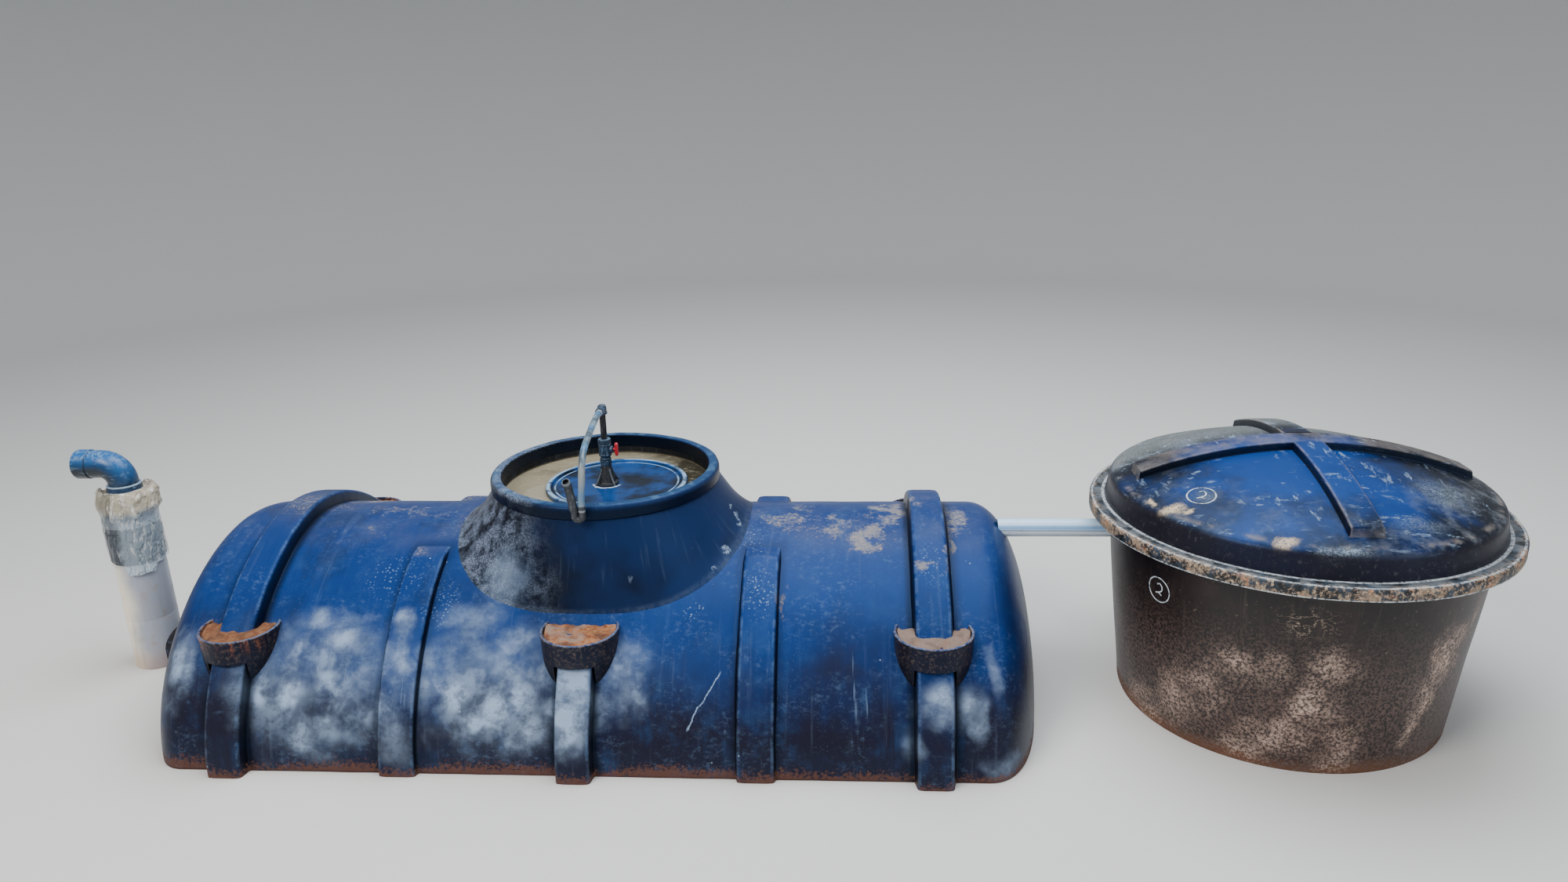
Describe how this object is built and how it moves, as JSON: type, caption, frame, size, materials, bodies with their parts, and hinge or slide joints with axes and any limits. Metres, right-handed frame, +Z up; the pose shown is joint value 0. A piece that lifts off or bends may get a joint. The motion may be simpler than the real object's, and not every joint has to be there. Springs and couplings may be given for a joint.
{
  "type": "household biogas digester",
  "caption": "Black moulded household biogas digester with an open water-sealed neck, gas valve, inlet elbow and a round slurry tank.",
  "frame": {"origin": "middle of the whole plant in plan, at the height of its base", "axes": "+X along the tank from the inlet to the slurry tank, +Y to the back, +Z up"},
  "size_m": [4.698, 1.452, 0.9598],
  "materials": {
    "black_plastic": "moulded black, scuffed, satin",
    "dark_plastic": "moulded black, dull",
    "slurry_plastic": "moulded black, splashed with soil",
    "valve_plastic": "grey moulded fitting",
    "red_plastic": "red moulded handle",
    "white_pipe": "white pipe, dusty",
    "blue_pipe": "blue-grey pipe, satin",
    "clear_plastic": "clear film and hose"
  },
  "bodies": {
    "plant": {"centre_barrel": "black_plastic", "left_barrel": "black_plastic", "left_end": "black_plastic", "left_hoop": "black_plastic", "right_barrel": "black_plastic", "right_end": "black_plastic", "right_hoop": "black_plastic", "front_left_band": "black_plastic", "front_right_band": "black_plastic", "front_centre_post": "black_plastic", "front_centre_lug": "black_plastic", "front_left_lug": "black_plastic", "front_right_lug": "black_plastic", "back_left_band": "black_plastic", "back_right_band": "black_plastic", "back_centre_post": "black_plastic", "back_centre_lug": "black_plastic", "back_left_lug": "black_plastic", "back_right_lug": "black_plastic", "neck_skirt": "black_plastic", "neck_rim": "black_plastic", "neck_collar": "dark_plastic", "seal_trough": "dark_plastic", "gas_lid": "black_plastic", "lid_boss": "dark_plastic", "lid_socket": "valve_plastic", "valve_body": "valve_plastic", "valve_union_ring": "valve_plastic", "gas_riser": "dark_plastic", "gas_elbow": "valve_plastic", "gas_hose": "clear_plastic", "hose_return": "dark_plastic", "inlet_foot": "dark_plastic", "inlet_pipe": "white_pipe", "inlet_coupling": "white_pipe", "inlet_wrap": "clear_plastic", "inlet_elbow": "blue_pipe", "outlet_pipe": "blue_pipe", "slurry_wall_1": "slurry_plastic", "slurry_wall_2": "slurry_plastic", "slurry_wall_3": "slurry_plastic", "slurry_wall_4": "slurry_plastic", "slurry_floor": "slurry_plastic", "slurry_rim": "slurry_plastic"},
    "handle": {"valve_handle": "red_plastic"},
    "lid": {"slurry_lid": "black_plastic"}
  },
  "joints": [
    {"name": "valve_turn", "type": "hinge", "parent": "plant", "child": "handle", "pos_m": [-0.501, 0.004, 0.803], "axis": [1, 0, 0], "range_deg": [0, 90]},
    {"name": "slurry_lid_lift", "type": "slide", "parent": "plant", "child": "lid", "axis": [0, 0, 1], "range_m": [0, 0.3]}
  ]
}
